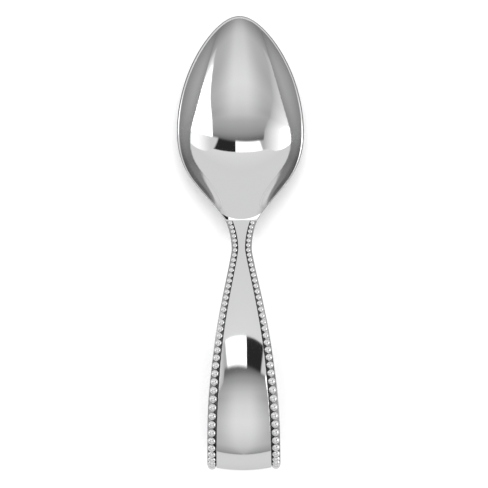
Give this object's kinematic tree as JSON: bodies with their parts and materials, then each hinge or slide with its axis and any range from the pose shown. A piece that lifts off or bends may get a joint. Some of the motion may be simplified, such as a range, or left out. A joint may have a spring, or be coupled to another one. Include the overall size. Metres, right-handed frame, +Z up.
{
  "type": "baby spoon",
  "caption": "Short feeding spoon in polished silver: pointed oval bowl, narrow neck and a crowned handle bent round into a finger loop, edged with a graduated border of beads.",
  "frame": {"origin": "middle of the footprint, on the table the spoon lies on", "axes": "+Y along the spoon towards the bowl's tip, +Z up out of the open bowl, +X to the right seen from above"},
  "size_m": [0.0282, 0.101, 0.0202],
  "materials": {
    "silver": "mirror-polished silver"
  },
  "bodies": {
    "root": {"bowl": "silver", "handle": "silver", "left_beads": "silver", "right_beads": "silver", "end_bead": "silver"}
  },
  "joints": []
}
